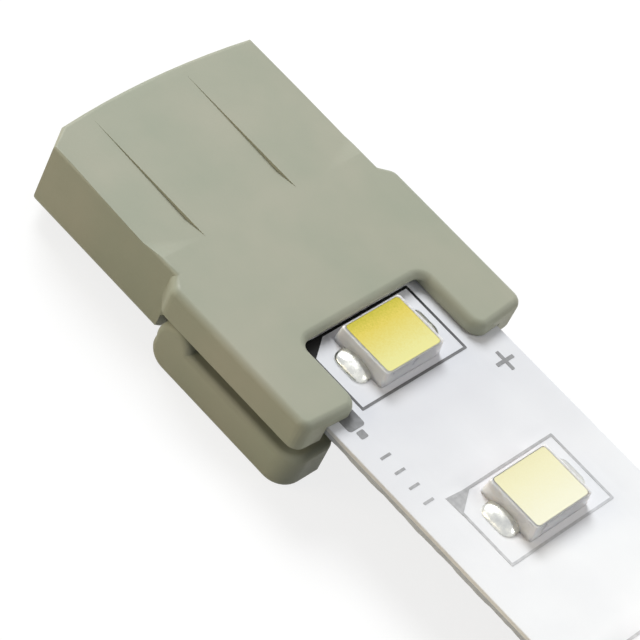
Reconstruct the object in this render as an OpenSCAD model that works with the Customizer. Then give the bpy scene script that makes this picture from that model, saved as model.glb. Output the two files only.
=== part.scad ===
// Two-way clamp connector for a light strip, with the end of a strip held in it.
// The rear plug takes two wires, the head holds the strip, and a hinged jaw closes under it.
// X runs from the wires towards the strip, Z is up, and the part stands on its jaw at z = 0.

/* [Housing] */
// Length of the moulded housing
housing_l = 16.45; // [15.95:0.1:18]
// Height of the housing's top above the resting face
top_z = 3.9; // [3.8:0.05:4.4]
// Width of the narrow rear plug
plug_w = 11.6; // [11:0.1:12]
// Height of the narrow rear plug
plug_h = 3.3; // [3.2:0.05:3.4]
// Length of the plug at its full height
plug_l = 8.25; // [8.1:0.05:8.4]
// Width of the head that holds the strip
head_w = 12.9; // [12.4:0.1:14]
// Where the plug starts to flare into the head
flare_x = 7.95; // [7.6:0.05:8.05]
// Rounding where the flare meets the head's sides
flare_r = 0.5; // [0.45:0.05:1]
// Depth of the head's side skirts
skirt_h = 1.45; // [1.35:0.05:1.5]
// Edge rounding of the head
head_edge_r = 0.4; // [0.2:0.05:0.5]
// Edge rounding along the top of the plug
plug_top_r = 0.18; // [0.1:0.02:0.3]
// Edge rounding along the underside of the plug
plug_low_r = 0.4; // [0.1:0.05:0.5]
// Rounding of the head's outer corners seen from above
head_corner_r = 0.5; // [0.45:0.05:0.9]
// How far the legs' outer corners stay behind their inner ones
leg_rake = 0.2; // [0:0.05:0.5]
// Length of the keying corner along the plug
key_x = 0.9; // [0.5:0.1:1.2]
// Width of the keying corner across the plug
key_y = 1.45; // [0.8:0.05:1.6]
// Radius of the crowned rear face
crown_r = 45; // [30:5:90]

/* [Notch] */
// Width of the notch that leaves the first lamp free
notch_w = 7; // [6.4:0.1:7.6]
// Space between the notch's rear wall and the first lamp
notch_gap = 0.27; // [0.2:0.01:0.4]
// Rounding of the notch's inner corners
notch_r = 0.5; // [0.45:0.05:0.8]
// Rounding of the legs where the notch opens
mouth_r = 0.7; // [0.45:0.05:1]
// Height of the opening under the notch's rear edge
lip_gap = 0.4; // [0.3:0.02:0.42]
// Depth of the opening under the notch's rear edge
lip_depth = 1.2; // [0.8:0.1:1.5]

/* [Top ribs] */
// Width of the level top of the rib over a wire
rib_w = 1.6; // [1:0.05:1.8]
// Width of the slope along the rib's left side
rib_fall = 0.5; // [0.2:0.05:0.8]
// How far a rib's steep side lies to the right of its wire
rib_shift = 0.8; // [0.6:0.05:1]
// Where the ribs start to stand out, near the rear
rib_rear_x = 0.6; // [0.5:0.1:3]
// Where the ribs stand out most
rib_front_x = 6.2; // [5:0.05:6.8]
// Where the surface beside the ribs is back at the head's level
rib_end_x = 7.3; // [7:0.05:7.7]
// Greatest height of the ribs over the surface beside them
rib_h = 0.14; // [0.06:0.01:0.2]

/* [Wire entries] */
// Radius of the bore for a wire
wire_r = 1.05; // [0.8:0.05:1.05]
// Length of the round bore
wire_l = 4.3; // [3:0.1:4.4]
// Distance of the two wires from the middle
wire_y = 2.6; // [2.4:0.05:2.8]
// Depth of the wires' centre line below the top
wire_drop = 1.8; // [1.75:0.05:1.85]
// Width of the funnel around a bore
funnel_w = 0.3; // [0.1:0.05:0.35]

/* [Contacts] */
// Thickness of the contact metal
contact_t = 0.2; // [0.1:0.02:0.22]
// Width and height of the wire cage
cage_w = 1.4; // [1.2:0.05:1.4]
// Length of the wire cage
cage_l = 2.6; // [2:0.1:2.7]
// Where the contact touches the pad
touch_x = 11.65; // [11.45:0.05:11.75]
// Where the contact's tongue ends
tongue_end_x = 12.2; // [12.1:0.05:12.3]

/* [Strip] */
// Width of the strip
strip_w = 10; // [9:0.1:10.4]
// Thickness of the flexible board
board_t = 0.25; // [0.15:0.01:0.3]
// Thickness of the adhesive foam under the board
adhesive_t = 0.32; // [0.2:0.01:0.4]
// Depth of the strip's top face below the housing's top
strip_drop = 0.71; // [0.7:0.01:0.75]
// Spacing of the lamps
led_pitch = 8.333; // [7:0.001:9]
// Length of a solder pad
pad_l = 1.6; // [1.3:0.1:2]
// Width of a solder pad
pad_w = 2.6; // [2:0.1:2.8]
// Distance of the solder pads from the middle
pad_y = 2.9; // [2.7:0.1:3.2]
// Thickness of the pads' metal
pad_t = 0.04; // [0.02:0.01:0.05]

/* [Lamp] */
// Length of the lamp along the strip
led_l = 2.8; // [2:0.1:3]
// Width of the lamp across the strip
led_w = 3.5; // [3:0.1:3.6]
// Height of the lamp above the board
led_h = 0.79; // [0.6:0.01:0.9]
// Width of the rim at the ends of the lamp's window
rim_w = 0.18; // [0.1:0.02:0.3]
// Width of the rim along the sides of the lamp's window
rim_side_w = 0.28; // [0.2:0.02:0.4]
// Slope of the lamp's outer walls, measured at the top
wall_lean = 0.06; // [0.02:0.02:0.12]
// Depth of the window's cup
cup_h = 0.42; // [0.2:0.02:0.5]
// Length of a solder joint along the strip
joint_l = 1.7; // [1:0.1:2]
// How far a solder joint reaches out of the lamp
joint_w = 0.75; // [0.3:0.05:0.9]
// Height of a solder joint against the lamp
joint_h = 0.34; // [0.2:0.02:0.5]

/* [Resistor] */
// Length of the chip resistor
chip_l = 1.6; // [1:0.1:2]
// Width of the chip resistor
chip_w = 0.8; // [0.5:0.05:1]
// Height of the chip resistor
chip_h = 0.45; // [0.3:0.05:0.6]
// Length of each metal end of the chip
chip_end_l = 0.3; // [0.2:0.05:0.4]
// Distance of the chip from the strip's free end
chip_edge = 1.95; // [1.2:0.05:2.1]

/* [Jaw] */
// Thickness of the jaw's plate
jaw_h = 1.8; // [1.7:0.05:1.9]
// How far the jaw reaches beyond the legs
jaw_reach = 0.07; // [0:0.01:0.4]
// Rounding of the jaw's front corners seen from above
jaw_corner_r = 1; // [0.5:0.05:1.2]
// Edge rounding of the jaw
jaw_edge_r = 0.3; // [0.15:0.01:0.32]
// Width of the recess for a fingernail in the jaw's front
nail_w = 8.2; // [5:0.1:9]
// Depth of the recess for a fingernail
nail_depth = 0.75; // [0.4:0.05:0.8]
// How far the pressing block stays behind the jaw's front
press_back = 1.1; // [1.1:0.05:1.5]
// Height of the detent ridges on the pressing block
ridge_h = 0.1; // [0.05:0.01:0.11]

/* [Hinge] */
// Radius of the housing's hinge barrel
barrel_r = 0.85; // [0.8:0.01:0.88]
// Radius of the hinge pins
pin_r = 0.45; // [0.3:0.01:0.45]
// Length of the hinge pins
pin_l = 0.75; // [0.5:0.05:1]

/* [Fits] */
// Space between a hinge pin and its hole
pin_fit = 0.05; // [0.02:0.01:0.08]
// Space beside the strip, the jaw's arms and its pressing block
side_fit = 0.1; // [0.06:0.01:0.12]
// Space above and below the clamped strip
strip_fit = 0.02; // [0.01:0.01:0.03]
// Space above the tongue of a contact
tongue_fit = 0.05; // [0.03:0.01:0.06]
// Space between a contact's cage and its cavity
cage_fit = 0.05; // [0.03:0.01:0.08]
// Space between the hinge barrel and the jaw's plate
barrel_fit = 0.2; // [0.15:0.01:0.25]
// Space between the jaw's knuckles and the skirts
knuckle_fit = 0.08; // [0.05:0.01:0.12]
// Space between the jaw's heel and the plug
heel_fit = 0.45; // [0.44:0.01:0.55]
// Space between the stop inside the head and the end of the strip
stop_fit = 0.05; // [0.05:0.05:0.4]

/* [Hidden] */
$fn = 48;
plastic = [0.70, 0.70, 0.60];
metal = [0.82, 0.80, 0.74];
tin = [0.86, 0.87, 0.88];
white = [0.93, 0.93, 0.94];
big = 50;
skin = 0.001;
arc_step = 18;
led_count = 3;
plug_z = top_z - plug_h;
skirt_z = top_z - skirt_h;
wire_z = top_z - wire_drop;
hinge_x = plug_l + heel_fit + jaw_h / 2;
hinge_z = plug_z + barrel_r;
knuckle_r = skirt_z - hinge_z - knuckle_fit;
stop_x = hinge_x + barrel_r + side_fit / 2;
strip_x = stop_x + stop_fit;
strip_l = led_count * led_pitch;
strip_top = top_z - strip_drop;
strip_low = strip_top - board_t - adhesive_t;
overall_l = strip_x + strip_l;
channel_w = strip_w + 2 * side_fit;
channel_z = strip_top + pad_t + strip_fit;
tongue_z = channel_z + contact_t / 2;
roof_z = channel_z + contact_t + tongue_fit;
notch_x = strip_x + led_pitch / 2 - led_l / 2 - notch_gap;
cage_x = wire_l + cage_fit;
cavity_w = cage_w + 2 * cage_fit;
rise_x = max(rib_end_x, cage_x + cage_l + cage_fit);
cavity_end_x = rise_x + contact_t;
slot_w = 2 * wire_y + cavity_w;
jaw_x = housing_l + jaw_reach;
arm_w = (head_w - channel_w) / 2;
press_x = hinge_x + barrel_r + barrel_fit;
chip_x = overall_l - chip_edge;

// Everything is drawn from the rear face and then centred along X.
module place() translate([-overall_l / 2, 0, 0]) children();

// A vertical outline in X and Z, made solid across Y.
module across(width) rotate([90, 0, 0]) linear_extrude(width, center = true) children();

// The plug seen from above: a crowned rear face and one keying corner.
module plug_plan() intersection() {
    polygon([[0, key_y - plug_w / 2], [key_x, -plug_w / 2], [plug_l, -plug_w / 2],
             [plug_l, plug_w / 2], [0, plug_w / 2]]);
    translate([crown_r, 0]) circle(crown_r, $fn = 240);
}

// One level of the plug, its outline drawn in by the rounding of the edge.
module plug_level(z, inset) translate([0, 0, z]) linear_extrude(skin) intersection() {
    offset(delta = -inset) plug_plan();
    translate([0, -big / 2]) square([plug_l - skin, big]);
}

// The plug with rounded long edges; its front end runs on into the head.
module plug_solid() hull() {
    for (a = [0 : arc_step : 90]) {
        plug_level(top_z - skin - plug_top_r * (1 - cos(a)), plug_top_r * (1 - sin(a)));
        plug_level(plug_z + plug_low_r * (1 - cos(a)), plug_low_r * (1 - sin(a)));
    }
    translate([plug_l - 1, -plug_w / 2 + plug_low_r, plug_z])
        cube([1, plug_w - 2 * plug_low_r, plug_h - skin]);
}

// The notch between the legs, widening with round corners where it opens.
module notch_plan() offset(r = notch_r) offset(delta = -notch_r)
    offset(r = -mouth_r) offset(delta = mouth_r) {
        translate([notch_x, -notch_w / 2]) square([big, notch_w]);
        translate([housing_l, -big / 2]) square(big);
    }

// The head seen from above: a flare and two legs with the notch between them.
module head_plan() difference() {
    intersection() {
        offset(r = flare_r) offset(delta = -flare_r)
            polygon([[flare_x - 1, -plug_w / 2], [flare_x, -plug_w / 2],
                     [flare_x + (head_w - plug_w) / 2, -head_w / 2], [big, -head_w / 2],
                     [big, head_w / 2], [flare_x + (head_w - plug_w) / 2, head_w / 2],
                     [flare_x, plug_w / 2], [flare_x - 1, plug_w / 2]]);
        offset(r = head_corner_r) offset(delta = -head_corner_r)
            polygon([[0, -head_w / 2], [housing_l - leg_rake, -head_w / 2],
                     [housing_l, -notch_w / 2], [housing_l, notch_w / 2],
                     [housing_l - leg_rake, head_w / 2], [0, head_w / 2]]);
    }
    notch_plan();
}

// A ball whose facets reach the full radius along every axis.
module ball(r, sides) sphere(r / cos(180 / sides), $fn = sides);

// The head with every edge rounded, cut level along the bottom of its skirts.
module head_solid() intersection() {
    minkowski() {
        translate([0, 0, skirt_z - head_edge_r])
            linear_extrude(skirt_h) offset(delta = -head_edge_r, $fn = 24) head_plan($fn = 24);
        ball(head_edge_r, 20);
    }
    translate([flare_x - 0.5, -big / 2, skirt_z]) cube(big);
}

// The block that carries the hinge, with a round barrel under the strip and a shoulder that
// fills the corner behind the jaw's heel as far as its turn leaves free.
module hinge_block() {
    translate([plug_l - 1, -strip_w / 2, hinge_z])
        cube([stop_x - plug_l + 1, strip_w, top_z - head_edge_r - hinge_z]);
    translate([plug_l - 1, -strip_w / 2, plug_z])
        cube([hinge_x - plug_l + 1, strip_w, barrel_r]);
    translate([hinge_x, 0, hinge_z]) across(strip_w) circle(barrel_r);
    clear_r = skirt_z - hinge_z;
    low = hinge_z + sqrt(2) * clear_r - hinge_x + plug_l;
    tip = hinge_x + (1 - sqrt(2)) * clear_r;
    across(plug_w - 0.02)
        polygon([[plug_l - 0.5, skirt_z + 0.3], [plug_l - 0.5, low], [plug_l, low],
                 [tip, skirt_z], [tip, skirt_z + 0.3]]);
}

// The passages for one wire and its contact.
module wire_way() {
    translate([-1, 0, wire_z]) rotate([0, 90, 0]) cylinder(r = wire_r, h = wire_l + 1);
    translate([-funnel_w, 0, wire_z]) rotate([0, 90, 0])
        cylinder(r1 = wire_r + 2 * funnel_w, r2 = wire_r, h = 2 * funnel_w);
    translate([wire_l - 0.01, -cavity_w / 2, wire_z - cavity_w / 2])
        cube([cavity_end_x - wire_l, cavity_w, cavity_w]);
    translate([rise_x, -cavity_w / 2, wire_z])
        cube([strip_x - rise_x, cavity_w, roof_z - wire_z]);
}

// What falls away beside the two ribs: lowest near the head, then a climb to its level.
module beside_ribs() difference() {
    across(head_w + 1) polygon([[rib_rear_x, top_z], [rib_front_x, top_z - rib_h],
                                [rib_end_x, top_z], [rib_end_x, top_z + 1], [rib_rear_x, top_z + 1]]);
    for (side = [-1, 1])
        translate([0, side * wire_y - rib_shift, 0]) rotate([90, 0, 90]) linear_extrude(big)
            polygon([[0, 0], [0, top_z + rib_h], [rib_w - rib_fall, top_z + rib_h],
                     [rib_w + 2 * rib_fall, top_z - 2 * rib_h], [rib_w + 2 * rib_fall, 0]]);
}

// The one-piece moulded housing.
module housing() color(plastic) place() difference() {
    union() {
        plug_solid();
        head_solid();
        hinge_block();
    }
    translate([stop_x, -channel_w / 2, -1]) cube([big, channel_w, channel_z + 1]);
    translate([stop_x, -slot_w / 2, 0]) cube([notch_x - stop_x + 0.5, slot_w, roof_z]);
    translate([notch_x - lip_depth, -notch_w / 2, strip_top])
        cube([lip_depth + 0.5, notch_w, lip_gap]);
    beside_ribs();
    for (side = [-1, 1]) {
        translate([0, side * wire_y, 0]) wire_way();
        translate([hinge_x, side * (strip_w / 2 + 1 - (pin_l + side_fit) / 2), hinge_z])
            across(pin_l + side_fit + 2) circle(pin_r + pin_fit);
    }
}

// A ring with a round section; outer is its largest radius.
module ring(outer, section_r) rotate_extrude($fn = 40)
    translate([outer - section_r, 0]) circle(section_r, $fn = 20);

// The jaw's plate: a round heel, round front corners and every edge rounded.
module jaw_plate() hull() for (side = [-1, 1]) {
    translate([jaw_x - jaw_corner_r, side * (head_w / 2 - jaw_corner_r), 0]) {
        translate([0, 0, jaw_edge_r]) ring(jaw_corner_r, jaw_edge_r);
        translate([0, 0, jaw_h - jaw_edge_r]) ring(jaw_corner_r, jaw_edge_r);
    }
    translate([hinge_x, side * (head_w / 2 - jaw_edge_r), jaw_h / 2])
        rotate([90, 0, 0]) ring(jaw_h / 2, jaw_edge_r);
}

// The recess for a fingernail in the jaw's front, with round corners at its mouth.
module nail_recess() linear_extrude(big, center = true, $fn = 24)
    offset(r = -jaw_edge_r) offset(delta = jaw_edge_r) {
        translate([jaw_x - nail_depth, -nail_w / 2]) square([nail_depth + 1, nail_w]);
        translate([jaw_x, -head_w / 2]) square([1, head_w]);
    }

// A knuckle of the jaw: a disc with a rounded rim around the hinge axis.
module knuckle() rotate([90, 0, 0]) rotate_extrude($fn = 64) intersection() {
    offset(r = jaw_edge_r, $fn = 24)
        square([2 * (knuckle_r - jaw_edge_r), arm_w - 2 * jaw_edge_r], center = true);
    translate([0, -big / 2]) square(big);
}

// The hinged lower jaw: plate, arms with pins, and the block that presses on the strip.
module clamp_jaw() color(plastic) place() {
    press_l = jaw_x - press_back - press_x;
    press_w = strip_w - side_fit;
    difference() {
        jaw_plate();
        nail_recess();
        translate([0, -channel_w / 2, -1]) cube([press_x, channel_w, top_z + 1]);
    }
    translate([press_x, -press_w / 2, jaw_h / 2])
        cube([press_l, press_w, strip_low - strip_fit - jaw_h / 2]);
    for (side = [-1, 1]) {
        translate([hinge_x, side * (head_w - arm_w) / 2, hinge_z]) knuckle();
        translate([hinge_x, side * (channel_w - pin_l + arm_w) / 2 - side * side_fit, hinge_z])
            across(pin_l + arm_w - 2 * side_fit) circle(pin_r);
        translate([press_x + press_l * 0.7, side * press_w / 2, (jaw_h + strip_low) / 2])
            rotate([0, 90, 0]) cylinder(r = ridge_h, h = press_l * 0.2, $fn = 24);
    }
}

// A bent strip of metal along points in X and Z.
module ribbon(points, width) across(width)
    for (i = [0 : len(points) - 2]) hull() {
        translate(points[i]) circle(d = contact_t, $fn = 20);
        translate(points[i + 1]) circle(d = contact_t, $fn = 20);
    }

// A stamped contact: a cage for the wire, a leaf that grips it and a tongue to the pad.
module contact(side) color(metal) place() translate([0, side * wire_y, 0]) {
    cage_top = wire_z + cage_w / 2 - contact_t / 2;
    cage_end = cage_x + cage_l;
    difference() {
        translate([cage_x, -cage_w / 2, wire_z - cage_w / 2]) cube([cage_l, cage_w, cage_w]);
        translate([cage_x - 1, contact_t - cage_w / 2, wire_z - cage_w / 2 + contact_t])
            cube([cage_l + 2, cage_w - 2 * contact_t, cage_w - 2 * contact_t]);
    }
    ribbon([[cage_x + 0.3, cage_top], [cage_end - 0.5, wire_z - contact_t]],
           cage_w - 3 * contact_t);
    ribbon([[cage_end - contact_t, cage_top], [rise_x + contact_t, cage_top],
            [rise_x + 0.8, tongue_z], [touch_x - 0.9, tongue_z], [touch_x, tongue_z - strip_fit],
            [tongue_end_x, tongue_z]], cage_w);
}

// The flexible circuit board of the strip.
module strip_board() color(white) place() translate([strip_x, -strip_w / 2, strip_top - board_t])
    cube([strip_l, strip_w, board_t]);

// The foam tape under the board.
module strip_adhesive() color(white) place() translate([strip_x, -strip_w / 2, strip_low])
    cube([strip_l, strip_w, adhesive_t]);

// One half pad at a cut end; end is 0 near the head and 1 at the free end.
module pad(end, side) color(metal) place()
    translate([strip_x + end * (strip_l - pad_l), side * pad_y - pad_w / 2, strip_top])
        cube([pad_l, pad_w, pad_t]);

// Moves a lamp's pieces to its place on the strip.
module at_led(number) place()
    translate([strip_x + (number - 0.5) * led_pitch, 0, strip_top]) children();

// A rectangle drawn from its centre, with round corners.
module round_rect(l, w, r) offset(r = r, $fn = 24) square([l - 2 * r, w - 2 * r], center = true);

// The lamp's white case with its cup.
module led_package(number) color(white) at_led(number) difference() {
    hull() {
        linear_extrude(skin) round_rect(led_l, led_w, 0.1);
        translate([0, 0, led_h - skin]) linear_extrude(skin)
            round_rect(led_l - 2 * wall_lean, led_w - 2 * wall_lean, 0.2);
    }
    translate([0, 0, led_h - cup_h]) linear_extrude(cup_h + 1) window_plan();
}

// Outline of the lamp's window.
module window_plan() round_rect(led_l - 2 * rim_w, led_w - 2 * rim_side_w, 0.3);

// The yellow filling of the cup.
module led_phosphor(number) color([0.95, 0.88, 0.35]) at_led(number)
    translate([0, 0, led_h - cup_h]) linear_extrude(cup_h - 0.02) window_plan();

// A lamp's lead with its solder, on one side of the lamp.
module led_joint(number, side) color(tin) at_led(number) hull() {
    translate([-joint_l / 2, side > 0 ? led_w / 2 : -led_w / 2 - 0.1, 0])
        cube([joint_l, 0.1, joint_h]);
    translate([-joint_l / 2, side > 0 ? led_w / 2 : -led_w / 2 - joint_w, 0])
        cube([joint_l, joint_w, joint_h / 4]);
}

// The chip resistor's ceramic body.
module resistor_body() color([0.12, 0.12, 0.13]) place()
    translate([chip_x, 0, strip_top + chip_h / 2])
        cube([chip_w, chip_l - 2 * chip_end_l, chip_h], center = true);

// The two metal ends of the chip resistor.
module resistor_ends() color(tin) place() for (side = [-1, 1])
    translate([chip_x, side * (chip_l - chip_end_l) / 2, strip_top + chip_h / 2])
        cube([chip_w, chip_end_l, chip_h], center = true);

housing();
clamp_jaw();
contact(1);  // contact_positive
contact(-1);  // contact_negative
strip_board();
strip_adhesive();
pad(0, 1);  // pad_near_positive
pad(0, -1);  // pad_near_negative
pad(1, 1);  // pad_far_positive
pad(1, -1);  // pad_far_negative
led_package(1);  // led_1_package
led_phosphor(1);  // led_1_phosphor
led_joint(1, 1);  // led_1_anode_joint
led_joint(1, -1);  // led_1_cathode_joint
led_package(2);  // led_2_package
led_phosphor(2);  // led_2_phosphor
led_joint(2, 1);  // led_2_anode_joint
led_joint(2, -1);  // led_2_cathode_joint
led_package(3);  // led_3_package
led_phosphor(3);  // led_3_phosphor
led_joint(3, 1);  // led_3_anode_joint
led_joint(3, -1);  // led_3_cathode_joint
resistor_body();
resistor_ends();
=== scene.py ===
# %% [markdown]
# # A clamp connector on the end of a light strip
#
# The real object is two grey-green mouldings, a housing and a hinged jaw, that grip a white
# strip with small lamps on it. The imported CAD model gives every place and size, and this
# lesson dresses it: smooth mouldings, lamps with a yellow filling, solder, print and light.

import math

import bmesh
import bpy
import numpy as np
from mathutils import Matrix, Vector


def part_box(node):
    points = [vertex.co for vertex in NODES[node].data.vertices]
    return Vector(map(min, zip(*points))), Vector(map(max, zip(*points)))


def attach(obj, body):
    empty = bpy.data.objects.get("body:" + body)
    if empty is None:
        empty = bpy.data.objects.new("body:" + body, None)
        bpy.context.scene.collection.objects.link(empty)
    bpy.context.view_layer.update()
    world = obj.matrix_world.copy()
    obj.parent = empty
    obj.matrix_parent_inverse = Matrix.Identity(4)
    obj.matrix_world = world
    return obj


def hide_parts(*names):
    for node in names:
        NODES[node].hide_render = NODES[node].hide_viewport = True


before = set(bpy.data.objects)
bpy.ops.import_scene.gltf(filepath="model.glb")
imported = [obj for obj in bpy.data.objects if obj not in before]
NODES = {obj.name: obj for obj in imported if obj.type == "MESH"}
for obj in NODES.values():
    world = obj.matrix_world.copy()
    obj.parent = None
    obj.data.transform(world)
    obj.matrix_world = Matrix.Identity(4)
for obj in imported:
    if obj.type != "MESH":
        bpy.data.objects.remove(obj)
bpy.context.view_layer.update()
print("CAD nodes:", len(NODES))

# %% [markdown]
# Blender counts in metres, and this part is only 36 mm long. Working in millimetres and
# scaling once, when the mesh is written, keeps the numbers readable. The CAD boxes tell
# where each node lies, so no place has to be typed twice.

# %% Units and places
MM = 0.001


def span(node):
    """Lowest and highest corner of a CAD node, in millimetres."""
    low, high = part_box(node)
    return np.array(low) / MM, np.array(high) / MM


def placed(name, data):
    """A new object with its data, at the origin, linked into the scene."""
    thing = bpy.data.objects.new(name, data)
    bpy.context.scene.collection.objects.link(thing)
    return thing


BOARD_LOW, BOARD_HIGH = span("strip_board")
TAPE_LOW, TAPE_HIGH = span("strip_adhesive")
HEAD_END = float(span("housing")[1][0])
LAMPS = (1, 2, 3)
print("board from", BOARD_LOW.round(2), "to", BOARD_HIGH.round(2), "mm")

# %% [markdown]
# The camera stands where the photograph was taken from. A long lens and a place 134 mm away
# give its flat perspective. The three axes are the camera's own right, up and back
# directions, and together they hold its turn, its tilt and its roll.

# %% Camera
CAMERA_AT = (32.484, -85.175, 98.017)
CAMERA_RIGHT = (0.66518, 0.67146, 0.32662)
CAMERA_UP = (-0.68937, 0.38420, 0.61413)
CAMERA_BACK = (0.28687, -0.63367, 0.71845)
LENS, SENSOR = 192.19, 36
NEAREST, FARTHEST = 0.01, 10

camera = placed("camera", bpy.data.cameras.new("camera"))
axes = np.array([CAMERA_RIGHT, CAMERA_UP, CAMERA_BACK]).T
camera.matrix_world = Matrix.Translation(np.array(CAMERA_AT) * MM) @ Matrix(axes.tolist()).to_4x4()
camera.data.lens = LENS
camera.data.sensor_width = SENSOR
camera.data.clip_start = NEAREST
camera.data.clip_end = FARTHEST
bpy.context.scene.camera = camera
print("camera", np.linalg.norm(CAMERA_AT).round(), "mm away, looks along",
      (-np.array(CAMERA_BACK)).round(3))

# %% [markdown]
# Every mesh below is made of rings: closed rows of points, all with the same count, that are
# joined into a skin. Numpy can number the faces of a whole skin at once, because the four
# corners of a face are always this point, the next one, and the same two on the next ring.


# %% Skins from rings
def ring_faces(rings, count, closed=False):
    """Quads between neighbouring rings: a corner, its neighbour, and both one ring on."""
    row = np.arange(rings if closed else rings - 1)[:, None]
    col = np.arange(count)[None, :]
    after = (row + 1) % rings
    beside = (col + 1) % count
    corners = [row * count + col, row * count + beside, after * count + beside, after * count + col]
    return np.stack(np.broadcast_arrays(*corners), -1).reshape(-1, 4)


def skin(rings, closed=False):
    """Points and faces of a skin over rings (rings, points, 3), capped flat unless closed."""
    rings = np.asarray(rings, float)
    many, count = rings.shape[:2]
    faces = ring_faces(many, count, closed).tolist()
    if not closed:
        faces.append(list(range(count))[::-1])
        faces.append(list(range((many - 1) * count, many * count)))
    return rings.reshape(-1, 3), faces


def joined(parts):
    """Several skins as one, each part's face numbers moved up by the points before it."""
    points, faces, first = [], [], 0
    for part_points, part_faces in parts:
        points.append(part_points)
        faces += [[first + i for i in face] for face in part_faces]
        first += len(part_points)
    return np.concatenate(points), faces


def round_outline(half_x, half_y, radius, steps=6):
    """A rectangle with round corners: each corner's centre plus radius times (cos, sin)."""
    turns = np.arange(4) * math.pi / 2
    angle = np.linspace(0, math.pi / 2, steps)[None, :] + turns[:, None]
    sign_x = np.array([1, -1, -1, 1])[:, None]
    sign_y = np.array([1, 1, -1, -1])[:, None]
    x = sign_x * (half_x - radius) + radius * np.cos(angle)
    y = sign_y * (half_y - radius) + radius * np.sin(angle)
    return np.stack([x.ravel(), y.ravel()], -1)


def stack_of(profile, steps=6):
    """Rings for a list of (half_x, half_y, corner radius, height), each a level outline."""
    rings = []
    for half_x, half_y, radius, height in profile:
        flat = round_outline(half_x, half_y, radius, steps)
        rings.append(np.column_stack([flat, np.full(len(flat), height)]))
    return np.array(rings)


print("a skin of 3 rings of 4 points has", len(ring_faces(3, 4)), "quads")

# %% [markdown]
# A piece is a mesh, a finish, the CAD body that it moves with and the nodes that it stands
# for. Edges sharper than a set angle stay crisp, and the rest are shaded smooth. The weighted
# normals keep wide flat faces flat next to narrow rounded ones, as on a real moulding.

# %% Finished pieces
SMOOTH_ANGLE = math.radians(38)
FLAT_FACE_WEIGHT = 80


def weigh_normals(piece):
    """Shading normals that lean towards the widest face at each corner."""
    modifier = piece.modifiers.new("flat faces stay flat", "WEIGHTED_NORMAL")
    modifier.keep_sharp = True
    modifier.weight = FLAT_FACE_WEIGHT


def finish_piece(piece, material, body, replaces=()):
    """Shades a mesh smooth up to the set angle, gives it its finish and ties it to its body."""
    piece.data.shade_smooth()
    piece.data.set_sharp_from_angle(angle=SMOOTH_ANGLE)
    piece.data.materials.clear()
    piece.data.materials.append(material)
    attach(piece, body)
    if replaces:
        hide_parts(*replaces)
    return piece


def new_piece(name, made, material, replaces=()):
    """A piece of the connector from (points in millimetres, faces), its normals outwards."""
    points, faces = made
    mesh = bpy.data.meshes.new(name)
    mesh.from_pydata((np.asarray(points) * MM).tolist(), [], faces)
    work = bmesh.new()
    work.from_mesh(mesh)
    bmesh.ops.recalc_face_normals(work, faces=work.faces)
    work.to_mesh(mesh)
    work.free()
    return finish_piece(placed(name, mesh), material, "connector", replaces)


print("edges sharper than", round(math.degrees(SMOOTH_ANGLE)), "degrees stay crisp")


# %% [markdown]
# Finishes are node trees on object coordinates, in metres, so a noise of scale 1000 has
# grains of about a millimetre. Small helpers keep the trees short: they add a node and feed
# its sockets, follow a place along an axis, mix colours, and lay a bump on the shader. A Mix
# node has sockets for each kind of data side by side, so its colour ones go by number.

# %% Nodes and sockets
MIX_SHARE, MIX_UNDER, MIX_OVER, MIX_RESULT = 0, 6, 7, 2


def set_socket(tree, socket, value):
    """Links an output to a socket, or sets the socket to a plain value."""
    if isinstance(value, bpy.types.NodeSocket):
        tree.links.new(value, socket)
    else:
        socket.default_value = value


def feed(tree, node, **sockets):
    """Sets or links the named sockets of a node."""
    for key, value in sockets.items():
        set_socket(tree, node.inputs[key.replace("_", " ")], value)


def add_node(tree, kind, settings=None, **sockets):
    """A new node with plain settings and fed sockets."""
    made = tree.nodes.new(kind)
    for key, value in (settings or {}).items():
        setattr(made, key, value)
    feed(tree, made, **sockets)
    return made


def reckoned(tree, operation, *values):
    """The result of a Math node on its values."""
    made = add_node(tree, "ShaderNodeMath", {"operation": operation})
    for socket, value in zip(made.inputs, values):
        set_socket(tree, socket, value)
    return made.outputs[0]


def mixed(tree, kind, share, under, over):
    """Two colours in a Mix node of the given kind."""
    made = add_node(tree, "ShaderNodeMix", {"data_type": "RGBA", "blend_type": kind})
    for number, value in ((MIX_SHARE, share), (MIX_UNDER, under), (MIX_OVER, over)):
        set_socket(tree, made.inputs[number], value)
    return made.outputs[MIX_RESULT]


def plain_finish(name, **sockets):
    """A material with one principled shader; returns it, its tree, shader and coordinates."""
    material = bpy.data.materials.new(name)
    material.use_nodes = True
    tree = material.node_tree
    shader = tree.nodes["Principled BSDF"]
    feed(tree, shader, **sockets)
    where = tree.nodes.new("ShaderNodeTexCoord").outputs["Object"]
    return material, tree, shader, where


# %% Patterns
def noise(tree, where, scale, detail=2.0, stretch=None):
    """A noise on object coordinates, stretched by a Mapping node where a grain has a direction."""
    if stretch:
        where = add_node(tree, "ShaderNodeMapping", Vector=where, Scale=stretch).outputs["Vector"]
    made = add_node(tree, "ShaderNodeTexNoise", Vector=where, Scale=scale, Detail=detail)
    return made.outputs["Fac"]


def along(tree, where, axis, start_mm, end_mm):
    """0 to 1 between two places along an axis, and level beyond them."""
    place = add_node(tree, "ShaderNodeSeparateXYZ", Vector=where).outputs[axis]
    return add_node(tree, "ShaderNodeMapRange", Value=place, From_Min=float(start_mm) * MM,
                    From_Max=float(end_mm) * MM).outputs["Result"]


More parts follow.
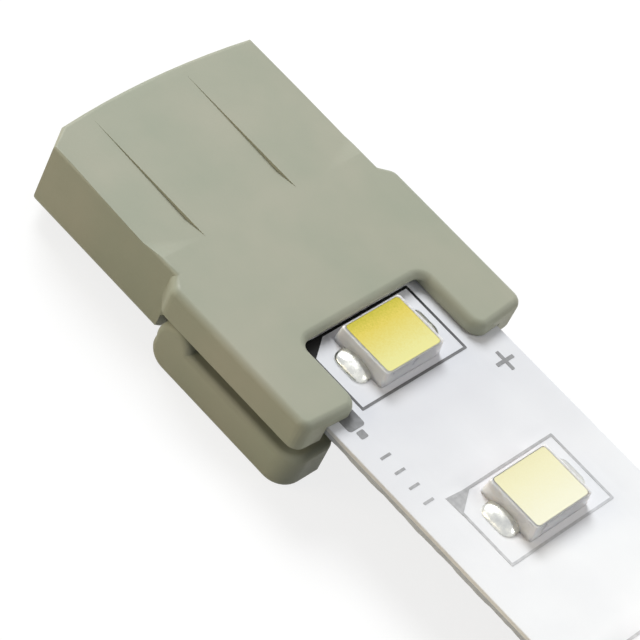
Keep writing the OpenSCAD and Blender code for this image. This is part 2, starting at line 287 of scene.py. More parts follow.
def colour_ramp(tree, fac, stops):
    """A colour that follows a factor through rising (factor, colour) stops."""
    ramp = add_node(tree, "ShaderNodeValToRGB", Fac=fac)
    elements = ramp.color_ramp.elements
    for number, (place, colour) in enumerate(stops):
        stop = elements[number] if number < 2 else elements.new(place)
        stop.position = place
        stop.color = (*colour, 1)
    return ramp.outputs["Color"]


def tinted(tree, fac, dark, light, low=0.3, high=0.7):
    """A colour between two, as the factor runs from low to high."""
    return colour_ramp(tree, fac, [(low, dark), (high, light)])


def between(tree, fac, low, high):
    """A number that runs from low to high with the middle of a noise."""
    return add_node(tree, "ShaderNodeMapRange", Value=fac, From_Min=0.3, From_Max=0.7,
                    To_Min=low, To_Max=high).outputs["Result"]


def bumped(tree, shader, height, depth_mm, strength=1.0, below=None):
    """Lays a bump of a real depth on the shader, over another bump where one is given."""
    bump = add_node(tree, "ShaderNodeBump", Height=height, Distance=depth_mm * MM,
                    Strength=strength)
    if below:
        feed(tree, bump, Normal=below.outputs["Normal"])
    feed(tree, shader, Normal=bump.outputs["Normal"])
    return bump


# %% [markdown]
# Both mouldings are one satin plastic, a warm grey-green. Its tone wanders a little over a
# few millimetres, from greener to pinker, and the mould has left a fine grain of a tenth of a
# millimetre with slow waves under it. The grain also breaks up the gloss.

# %% Finish of the mouldings
MOULDING_COOL = (0.318, 0.336, 0.260)
MOULDING_WARM = (0.366, 0.364, 0.286)


def moulding_finish():
    """Satin plastic: two close tones mixed by slow noise, fine grain over slow waves as bump."""
    material, tree, shader, where = plain_finish(
        "moulded plastic", IOR=1.48, Specular_IOR_Level=0.35)
    blotch = noise(tree, where, 260, 3)
    grain = noise(tree, where, 9000, 2)
    feed(tree, shader, Base_Color=tinted(tree, blotch, MOULDING_COOL, MOULDING_WARM),
         Roughness=between(tree, grain, 0.44, 0.58))
    waves = bumped(tree, shader, noise(tree, where, 700, 1), 0.02, 0.5)
    bumped(tree, shader, grain, 0.004, 0.5, below=waves)
    return material


moulding = moulding_finish()
print("finish of both mouldings:", moulding.name)

# %% [markdown]
# The mouldings keep the CAD's shape, but not its loose triangles. A copy is welded, flat
# neighbours are joined into whole faces, and a very small bevel breaks every sharp edge,
# because no moulded edge is a knife edge. The bevel catches a thin line of light.

# %% Housing and jaw
WELD = 0.002 * MM
FLAT = math.radians(0.8)
EDGE_WIDTH = 0.05 * MM
EDGE_STEPS = 2
EDGE_ANGLE = math.radians(32)


def moulded_piece(node, name, body):
    """A welded copy of a CAD node with whole flat faces and broken edges, finished as plastic."""
    work = bmesh.new()
    work.from_mesh(NODES[node].data)
    bmesh.ops.remove_doubles(work, verts=work.verts, dist=WELD)
    bmesh.ops.dissolve_limit(work, angle_limit=FLAT, verts=work.verts, edges=work.edges)
    mesh = bpy.data.meshes.new(name)
    work.to_mesh(mesh)
    work.free()
    piece = placed(name, mesh)
    bevel = piece.modifiers.new("broken edges", "BEVEL")
    bevel.width = EDGE_WIDTH
    bevel.segments = EDGE_STEPS
    bevel.limit_method = "ANGLE"
    bevel.angle_limit = EDGE_ANGLE
    finish_piece(piece, moulding, body, [node])
    weigh_normals(piece)
    return piece


housing = moulded_piece("housing", "housing_moulding", "connector")
jaw = moulded_piece("clamp_jaw", "jaw_moulding", "jaw")
print("housing faces:", len(housing.data.polygons), "jaw faces:", len(jaw.data.polygons))

# %% [markdown]
# The strip's board is a thin flexible film under white mask. The mask lies over copper, so
# the top is not flat: it stands up by a hair over the two wide rails along the edges, over
# the lands beside the lamps and over the fields between them. Each sheet of copper is a
# rectangle, and it comes in pairs, one on each side of the strip's middle line.

# %% Copper under the mask
RELIEF = 0.006
RELIEF_STEP = 0.16
RAIL_Y = (3.72, 4.72)
LAND_HALF, LAND_Y = 1.9, (1.6, 3.42)
FIELD_GAP, FIELD_Y = 2.3, (0.35, 2.9)


def middle_x(node):
    """The middle of a CAD node along X."""
    low, high = span(node)
    return float((low[0] + high[0]) / 2)


def both_sides(x0, x1, y0, y1):
    """A rectangle and its mirror image across the strip's middle line."""
    return [(x0, x1, y0, y1), (x0, x1, -y1, -y0)]


LAMP_X = [middle_x(f"led_{n}_package") for n in LAMPS]
PITCH = float(span("led_2_package")[0][0] - span("led_1_package")[0][0])
COPPER = both_sides(BOARD_LOW[0] - 1, BOARD_HIGH[0] + 1, *RAIL_Y)
for lamp_x in LAMP_X:
    COPPER += both_sides(lamp_x - LAND_HALF, lamp_x + LAND_HALF, *LAND_Y)
for lamp_x in LAMP_X[:-1]:
    COPPER += both_sides(lamp_x + FIELD_GAP, lamp_x + PITCH - FIELD_GAP, *FIELD_Y)


def inside_depth(x, y, field):
    """How far a point lies inside a rectangle: the least of its four distances to the sides."""
    x0, x1, y0, y1 = field
    return np.minimum(np.minimum(x - x0, x1 - x), np.minimum(y - y0, y1 - y))


def mask_height(x, y):
    """The mask's rise over copper: a smooth step of the depth inside the nearest field."""
    depth = np.max([inside_depth(x, y, field) for field in COPPER], axis=0)
    t = np.clip(depth / RELIEF_STEP + 0.5, 0, 1)
    return RELIEF * t * t * (3 - 2 * t)


print("lamps at x =", np.round(LAMP_X, 2), "mm,", round(PITCH, 3), "mm apart")
print("sheets of copper:", len(COPPER))

# %% [markdown]
# The mask is white with a slight gloss and the fine orange peel of sprayed lacquer. It is
# greyer by the connector, as painted shade, and brightens towards the free end, so its colour
# follows the place along X. The film under it is only seen at the cut edges, so it is a second
# colour below a set height.

# %% Finish of the board
# Painted shade: the mask is greyer by the connector, where the housing shades it, and whiter
# towards the free end.
MASK_SHADED_NEAR = (0.745, 0.747, 0.775)
MASK_LIT_FAR = (0.90, 0.90, 0.91)
MASK_DULL, MASK_CLEAN = (0.965, 0.965, 0.97), (1, 1, 1)
FILM = (0.41, 0.46, 0.55)
FILM_TOP = (0.05, 0.07)


def mask_finish():
    """White mask with painted shade by the connector, lighter towards the free end, over a film
    that shows at the cut edge.
    """
    material, tree, shader, where = plain_finish(
        "white solder mask", IOR=1.5, Specular_IOR_Level=0.4)
    far = along(tree, where, "X", HEAD_END, BOARD_HIGH[0])
    blotch = noise(tree, where, 420, 3)
    white = mixed(tree, "MULTIPLY", 1, tinted(tree, far, MASK_SHADED_NEAR, MASK_LIT_FAR, 0.08, 0.5),
                  tinted(tree, blotch, MASK_DULL, MASK_CLEAN))
    level = along(tree, where, "Z", BOARD_LOW[2] + FILM_TOP[0], BOARD_LOW[2] + FILM_TOP[1])
    feed(tree, shader, Base_Color=mixed(tree, "MIX", level, (*FILM, 1), white),
         Roughness=between(tree, blotch, 0.36, 0.48))
    orange_peel = bumped(tree, shader, noise(tree, where, 2600, 2), 0.006, 0.5)
    bumped(tree, shader, noise(tree, where, 12000, 1), 0.002, 0.4, below=orange_peel)
    return material


mask = mask_finish()
print("finish of the board:", mask.name)

# %% [markdown]
# The whole board is one profile carried along the strip. A flat box would do for its
# outline, but the profile gives it round edges, and its many upper points take their height
# from the copper, so the rails and fields are real steps and not only a pattern.

# %% Board
BOARD_EDGE = 0.05
BOARD_STEP = 0.11
ACROSS = 96


def board_skin():
    """The board's cross-section, round at its four edges, carried along X in even steps."""
    low, high = BOARD_LOW, BOARD_HIGH
    half = (high[1] - low[1]) / 2
    across = np.linspace(-half + BOARD_EDGE, half - BOARD_EDGE, ACROSS)
    turn = np.linspace(0, math.pi / 2, 4)[1:]
    right_y = half - BOARD_EDGE + BOARD_EDGE * np.sin(turn)
    drop = BOARD_EDGE * (1 - np.cos(turn))
    y = np.concatenate([across, right_y, right_y[::-1], [half - BOARD_EDGE, BOARD_EDGE - half],
                        -right_y, -right_y[::-1]])
    top, under = high[2], low[2]
    z = np.concatenate([np.full(ACROSS, top), top - drop, (under + drop)[::-1], [under, under],
                        under + drop, (top - drop)[::-1]])
    x = np.linspace(low[0], high[0], int((high[0] - low[0]) / BOARD_STEP))
    rings = np.empty((len(x), len(y), 3))
    rings[..., 0] = x[:, None]
    rings[..., 1] = y[None, :]
    rings[..., 2] = z[None, :]
    rings[:, :ACROSS, 2] += mask_height(x[:, None], across[None, :])
    return skin(rings)


board = new_piece("strip_film", board_skin(), mask, ["strip_board"])
print("board faces:", len(board.data.polygons))

# %% [markdown]
# Under the board lies a foam tape. Foam is softer than film, so where it was rolled down its
# sides swell a little and waver, and it stops a hair short of the board's edge. The waver is
# a sum of three sines along the strip, so it is the same every time.

# %% Foam tape
TAPE_INSET = 0.1
TAPE_BULGE = 0.05
TAPE_WAVER = 0.018
TAPE_WAVES = ((1.0, 2.1, 0), (0.6, 5.3, 1), (0.4, 11.7, 2))
TAPE_RINGS = 180
FOAM_DULL, FOAM_PALE = (0.50, 0.53, 0.59), (0.62, 0.66, 0.74)


def tape_skin():
    """A barrel-sided profile carried along X; its half width wavers as a sum of three sines."""
    low, high = TAPE_LOW, TAPE_HIGH
    angle = np.linspace(-math.pi / 2, math.pi / 2, 9)
    x = np.linspace(low[0], high[0], TAPE_RINGS)
    waver = TAPE_WAVER * sum(share * np.sin(x * rate + start) for share, rate, start in TAPE_WAVES)
    half = high[1] - TAPE_INSET + waver
    right = half[:, None] + TAPE_BULGE * (np.cos(angle)[None, :] - 1)
    height = (low[2] + high[2]) / 2 + (high[2] - low[2]) / 2 * np.sin(angle)
    y = np.concatenate([right, -right[:, ::-1]], 1)
    z = np.concatenate([height, height[::-1]])
    rings = np.stack([np.broadcast_to(x[:, None], y.shape), y, np.broadcast_to(z, y.shape)], -1)
    return skin(rings)


def foam_finish():
    """Matt white foam: pores from a cell noise, and a tone that wanders a little."""
    material, tree, shader, where = plain_finish("foam tape", Roughness=0.9)
    feed(tree, shader, Base_Color=tinted(tree, noise(tree, where, 900, 3), FOAM_DULL, FOAM_PALE))
    pores = add_node(tree, "ShaderNodeTexVoronoi", Vector=where, Scale=9000).outputs["Distance"]
    bumped(tree, shader, pores, 0.02, 0.7)
    return material


new_piece("strip_tape", tape_skin(), foam_finish(), ["strip_adhesive"])
print("tape", (TAPE_HIGH - TAPE_LOW).round(2), "mm")

# %% [markdown]
# A lamp is a white case with a cup, and the cup is filled level with yellow silicone. The
# case is one stack of rounded rectangles: up the leaning wall, over the soft rim, down the
# cup and across its floor. The filling is a second stack, dished by about two hundredths
# of a millimetre, as a liquid that set against the wall of the cup.

# %% Lamp sizes
CASE_LOW, CASE_HIGH = span("led_1_package")
CASE_X, CASE_Y = (CASE_HIGH - CASE_LOW)[:2] / 2
CASE_H = CASE_HIGH[2] - CASE_LOW[2]
FILL_LOW, FILL_HIGH = span("led_1_phosphor")
FILL_X, FILL_Y = (FILL_HIGH - FILL_LOW)[:2] / 2
FILL_BASE = FILL_LOW[2] - CASE_LOW[2]
CUP_X, CUP_Y = FILL_X + 0.05, FILL_Y + 0.07
CASE_CORNER, CUP_CORNER = 0.14, 0.16
CASE_FOOT = [(0.02, 0.0), (0.0, 0.03)]
LEAN = 0.06
RIM_SOFT = 0.045
CUP_SOFT = 0.6 * RIM_SOFT
CUP_INSET = 0.02
print("lamp case", (2 * CASE_X).round(2), "x", (2 * CASE_Y).round(2), "x", CASE_H.round(2), "mm")


# %% Shape of a lamp
def arc(centre_in, centre_z, radius, start, end, steps=5):
    """Inset and height along a quarter round: centre plus radius times (cos, sin)."""
    angle = np.radians(np.linspace(start, end, steps))
    return [(centre_in - radius * math.cos(a), centre_z + radius * math.sin(a)) for a in angle]


def lamp_case(centre_x, base_z):
    """Rings up the leaning wall and over the rim, then down the cup, drawn from its window."""
    outer = CASE_FOOT + arc(LEAN + RIM_SOFT, CASE_H - RIM_SOFT, RIM_SOFT, 0, 90)
    inner = arc(0, CASE_H - CUP_SOFT, CUP_SOFT, 90, 0)
    profile = [(CASE_X - inset, CASE_Y - inset, CASE_CORNER, height) for inset, height in outer]
    profile += [(CUP_X - inset, CUP_Y - inset, CUP_CORNER, height) for inset, height in inner]
    profile += [(FILL_X - CUP_INSET, FILL_Y - CUP_INSET, CUP_CORNER, FILL_BASE)]
    return skin(stack_of(profile) + np.array([centre_x, 0, base_z]))


FILL_LEVEL = CASE_H - 0.008
DISH, DISH_POWER = 0.018, 0.8
DISH_SHARES = np.array([1, 0.985, 0.96, 0.92, 0.84, 0.7, 0.5, 0.25, 0.06])


def lamp_filling(centre_x, base_z):
    """The filling: straight sides, a soft edge that climbs the cup's wall, a dished top."""
    dish = -DISH * (1 - DISH_SHARES ** 2) ** DISH_POWER
    profile = [(FILL_X, FILL_Y, CUP_CORNER, FILL_BASE)]
    profile += [(CUP_X * s, CUP_Y * s, CUP_CORNER * s, FILL_LEVEL + d)
                for s, d in zip(DISH_SHARES, dish)]
    return skin(stack_of(profile) + np.array([centre_x, 0, base_z]))


print("points of a case and a filling:", len(lamp_case(0, 0)[0]), len(lamp_filling(0, 0)[0]))


# %% [markdown]
# The case is white plastic with a slight gloss, and light seeps through it by about a
# millimetre, which softens its shadow side. Its warm, pinkish white is partly painted warm
# bounce light. The filling is silicone with phosphor powder in it: fine grains in a yellow
# that is deep on the connector's side and paler towards the free end, and paler still in the
# lamps further along the strip. That change of yellow, across a lamp and from lamp to lamp,
# is painted shade and light.

# %% Finishes of the lamps
# Both tones are warm and pinkish, partly as painted warm bounce light.
CASE_DULL, CASE_BRIGHT = (0.84, 0.77, 0.77), (0.93, 0.87, 0.84)
SEEP_MM = 1.2
# Painted shade and light: the first lamp's yellows run from deep to pale across it, and the other
# lamps' are paler.
NEAR_YELLOWS = ((0.49, 0.45, 0.025), (0.72, 0.59, 0.105), (0.785, 0.745, 0.31))
FAR_YELLOWS = ((0.84, 0.79, 0.49), (0.87, 0.83, 0.55), (0.90, 0.88, 0.68))
YELLOWS = (NEAR_YELLOWS, FAR_YELLOWS, FAR_YELLOWS)
YELLOW_PLACES = (0.15, 0.45, 1.0)
GRAIN_SHARE = 0.35


def case_finish():
    """Semi-gloss warm white, partly painted bounce light, with slow mottling, a very fine grain and
    light that seeps through.
    """
    material, tree, shader, where = plain_finish(
        "lamp case", IOR=1.5, Subsurface_Weight=0.9, Subsurface_Radius=(1.0, 0.9, 0.8),
        Subsurface_Scale=SEEP_MM * MM)
    blotch = noise(tree, where, 1500, 2)
    feed(tree, shader, Base_Color=tinted(tree, blotch, CASE_DULL, CASE_BRIGHT),
         Roughness=between(tree, blotch, 0.26, 0.4))
    bumped(tree, shader, noise(tree, where, 9000, 2), 0.003, 0.5)
    return material


def filling_finish(name, centre_x, yellows):
    """Yellow silicone: three tones in a slope across the lamp as painted shade and light, mixed
    with phosphor grains.
    """
    material, tree, shader, where = plain_finish(
        name, Roughness=0.36, IOR=1.41, Specular_IOR_Level=0.35, Coat_Weight=0.12,
        Coat_Roughness=0.12)
    # Painted shade and light: the yellow slopes from deep to pale across the lamp.
    slope = along(tree, where, "X", centre_x - CASE_X, centre_x + CASE_X)
    grain = reckoned(tree, "MULTIPLY_ADD", noise(tree, where, 14000, 2), GRAIN_SHARE, slope)
    feed(tree, shader, Base_Color=colour_ramp(tree, grain, zip(YELLOW_PLACES, yellows)))
    bumped(tree, shader, noise(tree, where, 5200, 2), 0.006, 0.4)
    return material


white_case = case_finish()
print("finish of the cases:", white_case.name)

# %% Lamps
for n, lamp_x, yellows in zip(LAMPS, LAMP_X, YELLOWS):
    base = float(span(f"led_{n}_package")[0][2])
    case = new_piece(f"lamp_{n}_case", lamp_case(lamp_x, base), white_case,
                     [f"led_{n}_package"])
    weigh_normals(case)
    yellow = filling_finish(f"lamp filling {n}", lamp_x, yellows)
    new_piece(f"lamp_{n}_filling", lamp_filling(lamp_x, base), yellow,
              [f"led_{n}_phosphor"])
print("lamps made:", len(LAMPS))

# %% [markdown]
# Each lamp stands in two fillets of solder. Melted solder pulls itself into a smooth drop
# that climbs the lead and thins out over the pad: here a dome whose plan is a rounded
# rectangle and whose height falls off as a quarter of an oval.

# %% Solder
SOLDER_FOOT = 1.8
SOLDER_ROUND = 0.62
SOLDER_UNDER = 0.02
SOLDER_TURN = 86
SOLDER_DULL, SOLDER_BRIGHT = (0.58, 0.59, 0.58), (0.82, 0.82, 0.76)


def solder_drop(x0, x1, y_in, y_out, base_z, height):
    """Rings of a dome: half sizes times cos(t) to a power, height times sin(t)."""
    t = np.radians(np.linspace(0, SOLDER_TURN, 12))
    half_x, half_y = (x1 - x0) / 2, abs(y_out - y_in)
    radius = SOLDER_ROUND * min(half_x, half_y)
    share = np.cos(t) ** (SOLDER_FOOT / 2)
    profile = [(half_x * s, half_y * s, radius * s, height * math.sin(a)) for s, a in zip(share, t)]
    return skin(stack_of(profile, 8) + np.array([(x0 + x1) / 2, y_in, base_z]))


def solder_finish():
    """Bright tin: fine flow lines in the bump and patches of duller skin in the roughness."""
    material, tree, shader, where = plain_finish("solder", Metallic=1.0)
    patch = noise(tree, where, 2400, 3)
    feed(tree, shader, Base_Color=tinted(tree, patch, SOLDER_DULL, SOLDER_BRIGHT),
         Roughness=between(tree, patch, 0.14, 0.36))
    bumped(tree, shader, noise(tree, where, 5200, 2), 0.012, 0.5)
    return material


solder = solder_finish()
for n in LAMPS:
    for side, word in ((1, "anode"), (-1, "cathode")):
        low, high = span(f"led_{n}_{word}_joint")
        reach = high[1] if side > 0 else low[1]
        drop = solder_drop(low[0], high[0], side * (CASE_Y - SOLDER_UNDER), reach, low[2],
                           high[2] - low[2])
        new_piece(f"lamp_{n}_{word}_solder", drop, solder, [f"led_{n}_{word}_joint"])
print("solder drops stand", (high[2] - low[2]).round(2), "mm high")

# %% [markdown]
# The pads at the cut ends are copper with a skin of tin, laid on hot, so they bulge a little
# in the middle. A stack of rounded rectangles that shrink as they rise gives that shape.

# %% Pads
PAD_CORNER = 0.18
PAD_SWELL = 0.6
PAD_SHARES = (1, 0.985, 0.95, 0.85, 0.6, 0.3, 0.05)
PAD_RISES = (0.35, 0.62, 0.78, 0.88, 0.96, 0.99, 1.0)
PAD_COPPER, PAD_TIN = (0.76, 0.64, 0.44), (0.82, 0.77, 0.66)


def pad_finish():
    """Tinned copper: warm where the tin is thin, duller and brighter in patches."""
    material, tree, shader, where = plain_finish("tinned pad", Metallic=1.0)
    patch = noise(tree, where, 1700, 3)
    feed(tree, shader, Base_Color=tinted(tree, patch, PAD_COPPER, PAD_TIN),
         Roughness=between(tree, patch, 0.22, 0.42))
    bumped(tree, shader, noise(tree, where, 3800, 2), 0.008, 0.5)
    return material


def low_cushion(low, high):
    """A pad's rings: a straight foot, then a shallow dome of rounded rectangles."""
    centre, half = (low + high) / 2, (high - low) / 2
    tall = high[2] - low[2]
    profile = [(half[0], half[1], PAD_CORNER, 0.0)]
    profile += [(half[0] * s, half[1] * s, PAD_CORNER * s, tall * (1 - PAD_SWELL + PAD_SWELL * up))
                for s, up in zip(PAD_SHARES, PAD_RISES)]
    return skin(stack_of(profile) + np.array([centre[0], centre[1], low[2]]))


tinned = pad_finish()
for place in ("near_positive", "near_negative", "far_positive", "far_negative"):
    new_piece(f"pad_{place}_tin", low_cushion(*span(f"pad_{place}")), tinned,
              [f"pad_{place}"])
print("pads in", tinned.name)

# %% [markdown]
# The resistor is a tiny ceramic brick. Its ends are caps of metal that wrap round the
# ceramic, so the brick reaches a hair into them and is a hair thinner. Both have soft
# edges, and the ceramic is dark glaze on top, a little dusty.

# %% Chip resistor
CHIP_THIN = 0.02
CHIP_ROUND, CAP_ROUND, LEAST_ROUND = 0.03, 0.06, 0.3
GLAZE_DARK, GLAZE_DUSTY = (0.015, 0.015, 0.017), (0.035, 0.035, 0.036)


def soft_block(low, high, radius):
    """A block with round corners and softened upper and lower edges, as a stack of rings."""
    centre, half = (low + high) / 2, (high - low) / 2
    angle = np.radians(np.linspace(0, 90, 5))
    inset = radius * (1 - np.sin(angle))
    rise = radius * (1 - np.cos(angle))
    levels = list(zip(inset, rise)) + list(zip(inset[::-1], 2 * half[2] - rise[::-1]))
    profile = [(half[0] - i, half[1] - i, max(radius - i, LEAST_ROUND * radius), z)
               for i, z in levels]
    return skin(stack_of(profile, 4) + np.array([centre[0], centre[1], low[2]]))


def chip_finish():
    """Dark glazed ceramic with a fine speckle."""
    material, tree, shader, where = plain_finish("chip glaze", IOR=1.5)
    speck = noise(tree, where, 9000, 2)
    feed(tree, shader, Base_Color=tinted(tree, speck, GLAZE_DARK, GLAZE_DUSTY),
         Roughness=between(tree, speck, 0.24, 0.4))
    bumped(tree, shader, speck, 0.003, 0.5)
    return material


low, high = span("resistor_body")
body = soft_block(low + [CHIP_THIN, -CHIP_THIN, 0], high + [-CHIP_THIN, CHIP_THIN, -CHIP_THIN],
                  CHIP_ROUND)
new_piece("chip_body", body, chip_finish(), ["resistor_body"])
ends_low, ends_high = span("resistor_ends")
cap_l = float(low[1] - ends_low[1])
first_high = np.array([ends_high[0], ends_low[1] + cap_l, ends_high[2]])
second_low = np.array([ends_low[0], ends_high[1] - cap_l, ends_low[2]])
caps = joined([soft_block(ends_low, first_high, CAP_ROUND),
               soft_block(second_low, ends_high, CAP_ROUND)])
new_piece("chip_caps", caps, solder, ["resistor_ends"])
print("chip caps", round(cap_l, 2), "mm long")

# %% [markdown]
# Print on the board is a thin film of ink: an outline round each lamp with a filled triangle
# in one corner, a plus by one rail, a bar, a dot and a few ticks by the other, and a broken
# line across the cut end. The ink is real geometry, a hundredth of a millimetre thick, so it
# shows from any side. It is nearly black by the connector and fades to a pale grey further
# along the strip, so its grey follows the place along X through a few stops. Its darkest
# greys, by the connector, are painted shade of the notch's corner and the near leg. The
# corner triangles are drawn larger than printed, so the first one also covers the shaded
# corner, and the bar is partly painted shadow of the near leg.

# %% Ink
# Painted shade: the darkest greys, by the connector, stand for the shade of the notch's corner and
# the near leg.
INK_GREYS_AND_SHADE = [(-4.8, 0.006), (-4.2, 0.015), (-3.5, 0.085), (-2.2, 0.14), (-1.5, 0.17), (-1.0, 0.31),
            (0.1, 0.34), (3.5, 0.51), (7.0, 0.67)]
INK_BLUE = 1.02
INK_THIN, INK_FULL = (0.82, 0.82, 0.82), (1, 1, 1)


def ink_finish():
    """Matt ink: a grey that follows X, with painted shade by the connector, times a ragged tone
    where the screen left less.
    """
    material, tree, shader, where = plain_finish("ink", Roughness=0.6, Specular_IOR_Level=0.15)
    start, end = INK_GREYS_AND_SHADE[0][0], INK_GREYS_AND_SHADE[-1][0]
    stops = [((x - start) / (end - start), (grey, grey, grey * INK_BLUE)) for x, grey in INK_GREYS_AND_SHADE]
    ink_and_shade = colour_ramp(tree, along(tree, where, "X", start, end), stops)
    ragged = tinted(tree, noise(tree, where, 5200, 3), INK_THIN, INK_FULL, 0.35, 0.7)
    feed(tree, shader, Base_Color=mixed(tree, "MULTIPLY", 1, ink_and_shade, ragged))
    bumped(tree, shader, noise(tree, where, 9000, 2), 0.004, 0.5)
    return material


ink = ink_finish()
print("ink has", len(INK_GREYS_AND_SHADE), "greys")

# %% Shapes in ink
INK_T = 0.012
INK_Z = float(BOARD_HIGH[2]) + 0.003
INK_FOOT = INK_Z - RELIEF
BAR_ROUND = 0.35
FRAME_ROUND_OUT, FRAME_ROUND_IN = 0.05, 0.03
# Drawn larger than the printed triangle: at the first lamp it is partly painted shade in the
# notch's corner.
CORNER_INK_AND_SHADE = np.array([[-0.1, -0.06], [0.84, -0.02], [0.02, 1.25]])


def slab(x0, x1, y0, y1, lift=0.0):
    """A bar of ink: a rounded rectangle at the board and one at the ink's thickness."""
    half_x, half_y = (x1 - x0) / 2, (y1 - y0) / 2
    radius = BAR_ROUND * min(half_x, half_y)
    levels = [(half_x, half_y, radius, 0), (half_x, half_y, radius, lift + INK_T + RELIEF)]
    return skin(stack_of(levels, 4) + np.array([(x0 + x1) / 2, (y0 + y1) / 2, INK_FOOT]))


def ink_frame(x0, x1, y0, y1, line):
    """An outline of ink: outer and inner rounded rectangles, low and high, closed into a ring."""
    half_x, half_y = (x1 - x0) / 2, (y1 - y0) / 2
    top = INK_T + 2 * RELIEF
    outer = (half_x, half_y, FRAME_ROUND_OUT)
    inner = (half_x - line, half_y - line, FRAME_ROUND_IN)
    levels = [(*outer, 0), (*outer, top), (*inner, top), (*inner, 0)]
    middle = np.array([(x0 + x1) / 2, (y0 + y1) / 2, INK_FOOT])
    return skin(stack_of(levels, 3) + middle, closed=True)


def corner_triangle(x, y):
    """A triangle of ink, larger than printed and partly painted shade, as two levels of a
    three-sided ring.
    """
    flat = CORNER_INK_AND_SHADE + [x, y]
    rings = [np.column_stack([flat, np.full(3, z)]) for z in (INK_FOOT, INK_Z + INK_T)]
    return skin(np.array(rings))


print("ink", INK_T, "mm thick, its foot", round(INK_FOOT, 3), "mm up")


# %% Outlines round the lamps
FRAME_X, FRAME_NEAR, FRAME_FAR = 1.78, 3.18, 2.98
INK_LINE = 0.115
TRIANGLE_IN = 0.02

for n, lamp_x in zip(LAMPS, LAMP_X):
    outline = ink_frame(lamp_x - FRAME_X, lamp_x + FRAME_X, -FRAME_NEAR, FRAME_FAR, INK_LINE)
    new_piece(f"print_outline_{n}", outline, ink)
    corner = corner_triangle(lamp_x - FRAME_X + TRIANGLE_IN, -FRAME_NEAR)
    new_piece(f"print_corner_and_shade_{n}", corner, ink)
print("outlines", round(2 * FRAME_X, 2), "x", round(FRAME_NEAR + FRAME_FAR, 2), "mm")

# %% Marks by the rails
SIGN_X = HEAD_END + 1.35
SIGN_Y = 3.95
ARM_HALF, LINE_HALF = 0.5, 0.085
PLUS_LIFT = 0.002  # one arm stands a hair higher, so the two tops never share a plane
# The bar is a printed minus sign drawn larger, so it is partly painted shadow of the near leg's
# front.
BAR_SHADOW_X, BAR_SHADOW_Y = (-1.95, -0.76), (-4.42, -3.52)
DOT_X, DOT_Y = (-0.66, -0.28), (-4.2, -3.82)
TICK_X, TICK_Y = (0.7, 0.82), (-4.2, -3.65)
TICK_STEPS = (0, 0.8, 1.6, 2.4)
END_X = float(BOARD_HIGH[0])
CUT_X, CUT_Y, CUT_DASH = (-0.16, -0.05), np.arange(-4.8, 4.5, 1.0), 0.55


def bar_from(start, x, y, step=0.0):
    """A bar of ink whose two places along X are counted from a starting place."""
    return slab(start + x[0] + step, start + x[1] + step, *y)


level_arm = slab(SIGN_X - ARM_HALF, SIGN_X + ARM_HALF, SIGN_Y - LINE_HALF, SIGN_Y + LINE_HALF,
                 PLUS_LIFT)
cross_arm = slab(SIGN_X - LINE_HALF, SIGN_X + LINE_HALF, SIGN_Y - ARM_HALF, SIGN_Y + ARM_HALF)
plus = [level_arm, cross_arm]
shadow_bar_and_dot = [bar_from(SIGN_X, BAR_SHADOW_X, BAR_SHADOW_Y), bar_from(SIGN_X, DOT_X, DOT_Y)]
ticks = [bar_from(SIGN_X, TICK_X, TICK_Y, step) for step in TICK_STEPS]
cut_line = [bar_from(END_X, CUT_X, (y, y + CUT_DASH)) for y in CUT_Y]
for name, bars in (("print_plus", plus), ("print_minus_and_shadow", shadow_bar_and_dot), ("print_ticks", ticks),
                   ("print_cut_line", cut_line)):
    new_piece(name, joined(bars), ink)
    print(name, len(bars), "bars")

# %% [markdown]
# The two contacts stay as the CAD made them: bent sheet metal with square edges, and only
# their ends show, deep in the wire entries. They get a tinned brass finish with fine lines
# along the metal, the way rolled sheet looks.

# %% Contacts
BRASS, BRASS_TIN = (0.66, 0.60, 0.46), (0.84, 0.81, 0.72)


def sheet_metal_finish():
    """Rolled and tinned brass: noise drawn out along X for the lines, warm and cool patches."""
    material, tree, shader, where = plain_finish("tinned brass", Metallic=1.0)
    lines = noise(tree, where, 1500, 2, stretch=(1, 14, 14))
    feed(tree, shader, Base_Color=tinted(tree, lines, BRASS, BRASS_TIN),
         Roughness=between(tree, lines, 0.22, 0.42))
    bumped(tree, shader, lines, 0.003, 0.5)
    return material


sheet_metal = sheet_metal_finish()
for node in ("contact_positive", "contact_negative"):
    NODES[node].data.materials.clear()
    NODES[node].data.materials.append(sheet_metal)
    print(node, "keeps its mesh, in", sheet_metal.name)

# %% [markdown]
# The studio is a pale floor and a white world all round. Both show white to the camera, but
# they must not light the object as strongly as that. So a Light Path node tells two kinds of
# ray apart: those that show a surface, straight or in a gloss, and those that carry light.
# Part of the floor is a real diffuse surface, so it still keeps the object's shadow.

# %% Floor
FLOOR_GLOW = 0.80
FLOOR_LIT = (0.22, 0.22, 0.22, 1)
FLOOR_BOUNCE = (0.50, 0.46, 0.38, 1)
FLOOR_HALF = 1.5
FLOOR_BELOW = 0.02 * MM
WHITE = (1, 1, 1, 1)


def seen_directly(tree):
    """1 for a ray from the camera, off a gloss or through glass, 0 for one that carries light."""
    rays = tree.nodes.new("ShaderNodeLightPath").outputs
    also = reckoned(tree, "MAXIMUM", rays["Is Glossy Ray"], rays["Is Transmission Ray"])
    return reckoned(tree, "MAXIMUM", rays["Is Camera Ray"], also)


def show_and_light(tree, out_kind, lights, shows):
    """Ends a tree with one shader for the rays that carry light and one for those that show."""
    mix = tree.nodes.new("ShaderNodeMixShader")
    for socket, value in zip(mix.inputs, (seen_directly(tree), lights, shows)):
        tree.links.new(value, socket)
    tree.links.new(mix.outputs[0], tree.nodes.new(out_kind).inputs["Surface"])


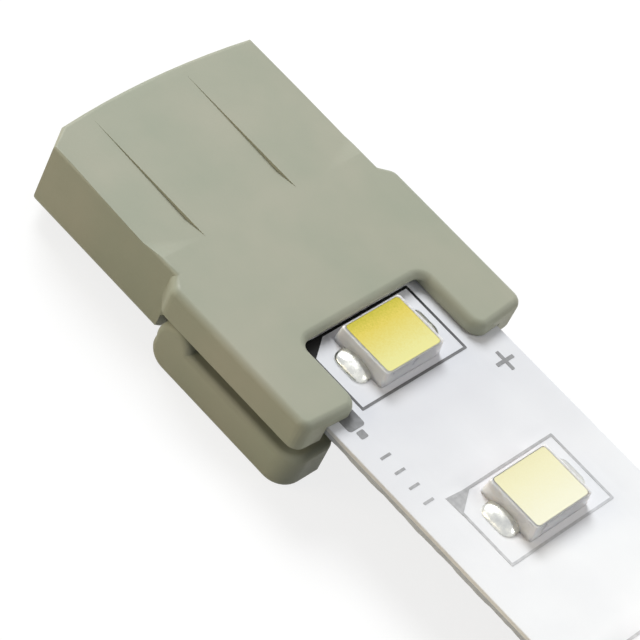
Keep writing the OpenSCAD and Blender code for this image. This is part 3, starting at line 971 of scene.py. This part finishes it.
def floor_finish():
    """Glow plus a little diffuse where it shows, plain diffuse where it carries light."""
    material = bpy.data.materials.new("floor")
    material.use_nodes = True
    tree = material.node_tree
    tree.nodes.clear()
    glow = add_node(tree, "ShaderNodeEmission", Color=WHITE, Strength=FLOOR_GLOW)
    lit = add_node(tree, "ShaderNodeBsdfDiffuse", Color=FLOOR_LIT)
    both = tree.nodes.new("ShaderNodeAddShader")
    tree.links.new(glow.outputs[0], both.inputs[0])
    tree.links.new(lit.outputs[0], both.inputs[1])
    bounce = add_node(tree, "ShaderNodeBsdfDiffuse", Color=FLOOR_BOUNCE)
    show_and_light(tree, "ShaderNodeOutputMaterial", bounce.outputs[0], both.outputs[0])
    return material


square = np.array([[-1, -1, 0], [1, -1, 0], [1, 1, 0], [-1, 1, 0]])
floor_mesh = bpy.data.meshes.new("floor")
floor_mesh.from_pydata((square * FLOOR_HALF - [0, 0, FLOOR_BELOW]).tolist(), [], [[0, 1, 2, 3]])
floor = placed("floor", floor_mesh)
floor.data.materials.append(floor_finish())
print("floor", 2 * FLOOR_HALF, "m wide")

# %% World
WORLD_LIGHT = (0.93, 0.95, 1.0, 1)
WORLD_STRENGTH = 0.23

world = bpy.data.worlds.new("studio")
bpy.context.scene.world = world
world.use_nodes = True
sky = world.node_tree
sky.nodes.clear()
soft_light = add_node(sky, "ShaderNodeBackground", Color=WORLD_LIGHT, Strength=WORLD_STRENGTH)
white_wall = add_node(sky, "ShaderNodeBackground", Color=WHITE, Strength=1.0)
show_and_light(sky, "ShaderNodeOutputWorld", soft_light.outputs[0], white_wall.outputs[0])
print("world lights at", WORLD_STRENGTH)

# %% [markdown]
# Three soft lamps give the photograph's light. The strongest stands high behind the plug and
# is a little cool, so the top is bright. A warm one stands low on the near side, so that side
# lies in a warm half-shade. A weak one beyond the free end lifts the fronts of the strip's
# own lamps.


# %% Lamps of the studio
def soft_lamp(name, toward, distance, size, power, colour):
    """A square area light at a distance from the object, along a direction, facing it."""
    data = bpy.data.lights.new(name, "AREA")
    data.energy = power
    data.size = size
    data.color = colour
    lamp = placed(name, data)
    direction = np.array(toward, float)
    direction /= np.linalg.norm(direction)
    lamp.location = (direction * distance).tolist()
    lamp.rotation_mode = "QUATERNION"
    lamp.rotation_quaternion = Vector((-direction).tolist()).to_track_quat("-Z", "Y")
    print(name, "lamp at", (direction * distance).round(3), "m,", power, "W")


soft_lamp("key", toward=(-0.8, 0.35, 0.85), distance=0.45, size=0.2, power=1.86,
          colour=(0.95, 0.98, 1.0))
soft_lamp("fill", toward=(-0.75, -1.0, 0.3), distance=0.5, size=0.3, power=1.08,
          colour=(1.0, 0.85, 0.57))
soft_lamp("front", toward=(1.0, 0.8, 1.0), distance=0.5, size=0.2, power=0.7,
          colour=(1.0, 1.0, 0.94))

# %% Colour
bpy.context.scene.view_settings.view_transform = "Standard"
